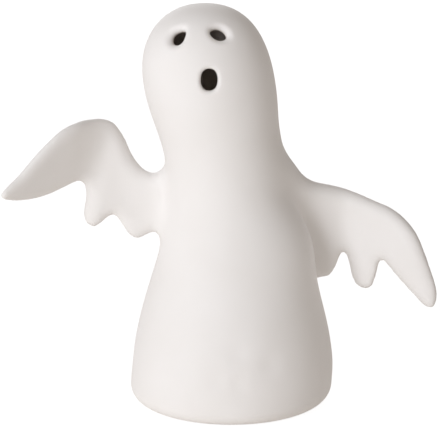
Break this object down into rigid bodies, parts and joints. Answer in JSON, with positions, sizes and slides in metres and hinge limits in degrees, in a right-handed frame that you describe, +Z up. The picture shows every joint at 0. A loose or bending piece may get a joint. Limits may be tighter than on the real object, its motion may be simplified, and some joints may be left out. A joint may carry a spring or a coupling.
{
  "type": "ceramic ghost figure",
  "caption": "Hollow matte ceramic ghost figure with pierced eyes and mouth and two outspread arms, standing open-footed over a battery tealight.",
  "frame": {"origin": "centre of the foot's underside, on the surface that the figure stands on", "axes": "+Z up, the face looks along -Y, +X towards the lowered arm"},
  "size_m": [0.1587, 0.0754, 0.15],
  "materials": {
    "bisque": "matte unglazed bisque, warm off-white",
    "felt": "pressed wool felt",
    "cup_plastic": "moulded, satin",
    "flame_silicone": "milky, translucent",
    "lamp_resin": "clear resin",
    "tinned_wire": "tinned",
    "contact_steel": "nickel plated spring strip",
    "cell_steel": "brushed can",
    "switch_plastic": "moulded, dark"
  },
  "bodies": {
    "light": {"tealight_cup": "cup_plastic", "tealight_chassis": "cup_plastic", "flame_lens": "flame_silicone", "led_lamp": "lamp_resin", "led_leads": "tinned_wire", "contact_minus": "contact_steel", "contact_plus": "contact_steel", "coin_cell": "cell_steel"},
    "ghost": {"body_shell": "bisque", "raised_arm": "bisque", "lowered_arm": "bisque", "foot_felt_ring": "felt"},
    "door": {"battery_door": "cup_plastic"},
    "switch": {"switch_slider": "switch_plastic"}
  },
  "joints": [
    {"name": "lift_off", "type": "slide", "parent": "light", "child": "ghost", "axis": [0, 0, 1], "range_m": [0, 0.06]},
    {"name": "door_turn", "type": "hinge", "parent": "light", "child": "door", "pos_m": [0, 0.004, 0.0014], "axis": [0, 0, 1], "range_deg": [0, 40]},
    {"name": "switch_slide", "type": "slide", "parent": "light", "child": "switch", "axis": [1, 0, 0], "range_m": [0, 0.003]}
  ]
}
